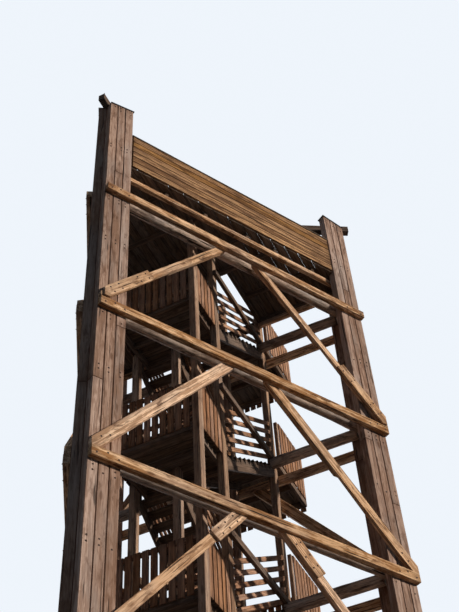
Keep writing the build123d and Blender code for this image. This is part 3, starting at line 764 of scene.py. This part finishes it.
def boltBraces(bm, faceName):
    for level, ring in enumerate(rings[1:], 1):
        for direction in (-1, 1):
            place, length = bracePlace(faceName, direction, ring)
            footPlate = faceName == "front" and level == braceBolts["footPlate"]["level"]
            headPlate = faceName == "front" and level == braceBolts["headPlate"]["level"]
            for x in braceBolts["atFoot"] if not footPlate else ():
                addBolt(bm, place, x, 0, luck.choice((-1, 1)) * braceBolts["across"])
            plateBolts = braceBolts["footPlate"]["places"] if footPlate else ()
            if headPlate:
                plateBolts = [length - braceBolts["endGap"] - x for x in braceBolts["headPlate"]["places"]]
            for x in plateBolts:
                for side in (-1, 1):
                    addBolt(bm, place, x, -braceBolts["splice"], side * 2 * braceBolts["across"])


def boltFace(faceName):
    bm = bmesh.new()
    place = faceFrame(faceName)
    for direction in (-1, 1):
        for timber in range(wings["timbers"]):
            x = direction * (wings["inner"] + (timber + 0.5) * wings["width"])
            heights = [wingTop(x) - drop for drop in wingBolts["fromTop"]]
            heights += [ring + rise for ring in rings[:-1] for rise in wingBolts["fromRing"]]
            for height in heights:
                shift = luck.uniform(-wingBolts["side"], wingBolts["side"])
                for side in (-1, 1):
                    if luck.random() < wingBolts["share"]:
                        addBolt(bm, place, x + shift, wingBolts["face"], height + side * wingBolts["pair"])
            for ring in rings:
                height = ring + walerBolts["height"] + walerBolts["stagger"] * (1 if timber % 2 else -1)
                addBolt(bm, place, x, walerBolts["face"], height)
    boltBraces(bm, faceName)
    finishPiece(bm, faceName + "Bolts", "boltSteel", "steel")


for faceName in tower["faceTurns"]:
    boltFace(faceName)

# the long beams are bolted through the stair's posts from outside
beamBolts = {"face": 1.09, "heights": (-0.085, -0.155), "posts": (3.676, 6.339), "stagger": 0.03}


def boltBeams():
    bm = bmesh.new()
    for floor in farFloors:
        for hand in (-1, 1):
            place = stairFrame @ Matrix.Rotation(math.radians(90 * hand), 4, "Z")
            for postY in beamBolts["posts"]:
                for step, height in enumerate(beamBolts["heights"]):
                    x = hand * (postY + beamBolts["stagger"] * (1 if step else -1))
                    addBolt(bm, place, x, -beamBolts["face"], floor + height)
    finishPiece(bm, "beamBolts", "boltSteel", "steel")


boltBeams()
print("bolts set")

# round nail heads on the slats and the parapet boards, a pair at every crossing
nails = {
    "radius": 0.0045, "taper": 0.7, "height": 0.0025, "sides": 6, "fromEdge": 0.03,
    "stagger": 0.018, "play": 0.006, "battenPlay": 0.02, "sink": 0.001,
}


def addNail(bm, place, x, y, z):
    seat = place @ Matrix.Translation((x, y, z)) @ Matrix.Rotation(math.radians(90), 4, "X")
    bmesh.ops.create_cone(bm, cap_ends=True, segments=nails["sides"], radius1=nails["radius"],
                          radius2=nails["radius"] * nails["taper"], depth=nails["height"], matrix=seat)


def nailGuard(bm, nodeName):
    # each hand or end has its own frame, with y inwards from the slats' outer face
    panel = guards[nodeName]
    face, frames = -max(panel["slatDepth"]), [stairFrame @ Matrix.Rotation(math.pi, 4, "Z")]
    if nodeName == "near_end_panels":
        face, frames = min(panel["slatDepth"]), [stairFrame]
    if panel["runAxis"] == "y":
        frames = [stairFrame @ Matrix.Rotation(math.radians(90 * hand), 4, "Z") for hand in (-1, 1)]
    for hand, place in zip((-1, 1), frames):
        for floor in panel["floors"]:
            for start in slatStarts(panel["run"]):
                middle = start + guards["slat"] / 2
                for low in (guards["lowRail"], panel["top"] - guards["rail"]):
                    for side in (-1, 1):
                        x = middle + side * (guards["slat"] / 2 - nails["fromEdge"])
                        z = floor + low + guards["rail"] / 2 + side * nails["stagger"]
                        z += luck.uniform(-nails["play"], nails["play"])
                        addNail(bm, place, x * hand if panel["runAxis"] == "y" else x, face, z)


def nailParapet(bm, faceName):
    place = faceFrame(faceName)
    for span in parapet["spans"][faceName]:
        for x in battenPlaces(span):
            for row in range(parapet["boards"]):
                low = parapet["bottom"] + row * parapet["pitch"]
                for z in (low + nails["fromEdge"], low + parapet["board"] - nails["fromEdge"]):
                    if z > parapet["battenBottom"]:
                        shift = luck.uniform(-nails["battenPlay"], nails["battenPlay"])
                        addNail(bm, place, x + parapet["battenWidth"] / 2 + shift, nails["sink"], z)


# nails down through treads and floor boards; along is the axis that a board lies on
deckNails = {
    "treads": {"along": 0, "fromEnd": 0.03},
    "near_floors": {"along": 0, "fromEnd": 0.05},
    "far_floors": {"along": 1, "fromEnd": 0.06},
    "platform_planks": {"along": 1, "fromEnd": 0.06},
    "shares": (0.22, 0.78), "play": 0.006, "reach": 0.02,
}


def islandLimits(group):
    places = [vert.co for vert in group]
    return [[limit(place[axis] for place in places) for axis in range(3)] for limit in (min, max)]


def nailDeck(bm, nodeName):
    # a nail goes in only where a ray from above meets the board
    along, inset = deckNails[nodeName]["along"], deckNails[nodeName]["fromEnd"]
    boards = copyNode(nodeName)
    surface = BVHTree.FromBMesh(boards)
    joists = []
    if nodeName == "platform_planks":
        joistMesh = copyNode("platform_joists")
        joists = sorted(sum(ends[1] for ends in islandLimits(group)) / 2 for group in islandsOf(joistMesh))
        joistMesh.free()
    upwards = Matrix.Rotation(math.radians(-90), 4, "X")
    for group in islandsOf(boards):
        low, high = islandLimits(group)
        lines = [low[along] + inset, high[along] - inset]
        lines += [y for y in joists if lines[0] + inset < y < lines[1] - inset]
        for line in lines:
            for share in deckNails["shares"]:
                point = Vector((0, 0, high[2] + deckNails["reach"] / 2))
                point[along] = line + luck.uniform(-1, 1) * deckNails["play"]
                point[1 - along] = low[1 - along] + share * (high[1 - along] - low[1 - along])
                if surface.ray_cast(point, Vector((0, 0, -1)), deckNails["reach"])[0]:
                    addNail(bm, upwards, point.x, -high[2], point.y)
    boards.free()


def buildNails():
    bm = bmesh.new()
    for nodeName in ("treads", "near_floors", "far_floors", "platform_planks"):
        nailDeck(bm, nodeName)
    for nodeName in panelNames:
        nailGuard(bm, nodeName)
    for faceName in tower["faceTurns"]:
        nailParapet(bm, faceName)
    finishPiece(bm, "nails", "boltSteel", "steel")


buildNails()
print("nails set")

# splinters torn from the arrises of the walers
splinters = {
    "perFace": 9, "length": (0.07, 0.2), "thickness": (0.005, 0.011), "turn": (12, 32), "sides": 4,
    "tip": 0.0008, "root": 0.01, "face": -0.112, "height": 0.078, "reach": 2.7,
}


def addSplinter(bm, place, x, ring, hand):
    length = luck.uniform(*splinters["length"])
    turn = Matrix.Rotation(math.radians(-hand * luck.uniform(*splinters["turn"])), 4, "Y")
    thickness = luck.uniform(*splinters["thickness"])
    lie = Matrix.Rotation(math.radians(90 * hand), 4, "Y")
    point = Matrix.Translation((x, splinters["face"], ring + splinters["height"])) @ turn @ lie
    middle = Matrix.Translation((0, 0, length / 2 - splinters["root"]))
    bmesh.ops.create_cone(bm, cap_ends=True, segments=splinters["sides"], radius1=thickness,
                          radius2=splinters["tip"], depth=length, matrix=place @ point @ middle)


def buildSplinters():
    bm = bmesh.new()
    for faceName in tower["faceTurns"]:
        for count in range(splinters["perFace"]):
            x = luck.uniform(-splinters["reach"], splinters["reach"])
            addSplinter(bm, faceFrame(faceName), x, luck.choice(rings), luck.choice((-1, 1)))
    markGrain(bm)
    finishPiece(bm, "walerSplinters", "walerTimber", slotOf["front_walers"])


buildSplinters()
print("splinters torn")

# thin sheet caps on the sloping wing tops
wingCaps = {"thickness": 0.018, "overhang": 0.02, "wear": 0.003, "lift": 0.001}


def buildWingCaps():
    bm = bmesh.new()
    for faceName in tower["faceTurns"]:
        place = faceFrame(faceName)
        for direction in (-1, 1):
            outer = wings["inner"] + wings["timbers"] * wings["width"]
            x = sorted((direction * (wings["inner"] - wingCaps["overhang"]), direction * outer))
            y = (-wingCaps["overhang"], wings["thickness"] + wingCaps["overhang"])
            for vert in limitsBox(bm, place, x, y, (0, wingCaps["thickness"])):
                vert.co.z += wingTop((place.inverted() @ vert.co).x) + wingCaps["lift"]
    wearEdges(bm, wingCaps["wear"])
    finishPiece(bm, "wingCaps", "capSheet", "steel")


buildWingCaps()
print("wing caps laid")

# stage: a pale floor and sky for the eye, which give the object little light of their own
stage = {
    "floorRadius": 60, "floorSides": 96, "floorRoughness": 0.9, "floorGlow": 0.45,
    "floorSeen": (0.78, 0.79, 0.80), "floorLight": (0.02, 0.022, 0.025),
    "skySeen": (0.86, 0.91, 0.97, 1), "skyLight": (0.56, 0.75, 1.0, 1), "skyStrength": 0.14,
}
lamps = {
    "sun": {"towards": (0.957, 0.135, 0.259), "strength": 3.7, "angle": 3, "colour": (1.0, 0.92, 0.82)},
    "backFill": {"towards": (-0.35, 0.9, 0.45), "strength": 2.2, "angle": 40, "colour": (0.90, 0.94, 1.0)},
    "sideFill": {"towards": (-0.95, 0.08, 0.3), "strength": 0.65, "angle": 40, "colour": (0.80, 0.89, 1.0)},
}


def seenRays(tree):
    rays = tree.nodes.new("ShaderNodeLightPath").outputs
    mirrored = calculate(tree, "MAXIMUM", rays["Is Glossy Ray"], rays["Is Transmission Ray"])
    return calculate(tree, "MAXIMUM", rays["Is Camera Ray"], mirrored)


def addFloor():
    bm = bmesh.new()
    bmesh.ops.create_circle(bm, cap_ends=True, segments=stage["floorSides"], radius=stage["floorRadius"])
    mesh = bpy.data.meshes.new("floor")
    bm.to_mesh(mesh)
    bm.free()
    floor = bpy.data.objects.new("floor", mesh)
    bpy.context.scene.collection.objects.link(floor)
    material, tree, shader = newMaterial("paleFloor")
    seen = seenRays(tree)
    connect(tree, blend(tree, seen, stage["floorLight"], stage["floorSeen"]), shader.inputs["Base Color"])
    shader.inputs["Emission Color"].default_value = stage["skySeen"]
    connect(tree, calculate(tree, "MULTIPLY", seen, stage["floorGlow"]), shader.inputs["Emission Strength"])
    shader.inputs["Roughness"].default_value = stage["floorRoughness"]
    mesh.materials.append(material)


def addSky():
    world = bpy.data.worlds.new("paleSky")
    bpy.context.scene.world = world
    world.use_nodes = True
    tree = world.node_tree
    tree.nodes.clear()
    output = tree.nodes.new("ShaderNodeOutputWorld")
    seen = tree.nodes.new("ShaderNodeBackground")
    seen.inputs["Color"].default_value = stage["skySeen"]
    light = tree.nodes.new("ShaderNodeBackground")
    light.inputs["Color"].default_value = stage["skyLight"]
    light.inputs["Strength"].default_value = stage["skyStrength"]
    mix = tree.nodes.new("ShaderNodeMixShader")
    tree.links.new(seenRays(tree), mix.inputs["Fac"])
    tree.links.new(light.outputs["Background"], mix.inputs[1])
    tree.links.new(seen.outputs["Background"], mix.inputs[2])
    tree.links.new(mix.outputs["Shader"], output.inputs["Surface"])


def addLamps():
    for name, lamp in lamps.items():
        data = bpy.data.lights.new(name, "SUN")
        data.energy = lamp["strength"]
        data.angle = math.radians(lamp["angle"])
        data.color = lamp["colour"]
        light = bpy.data.objects.new(name, data)
        bpy.context.scene.collection.objects.link(light)
        light.rotation_mode = "QUATERNION"
        light.rotation_quaternion = Vector(lamp["towards"]).to_track_quat("Z", "Y")


addFloor()
addSky()
addLamps()
bpy.context.scene.view_settings.view_transform = "Standard"
print("stage and light set")
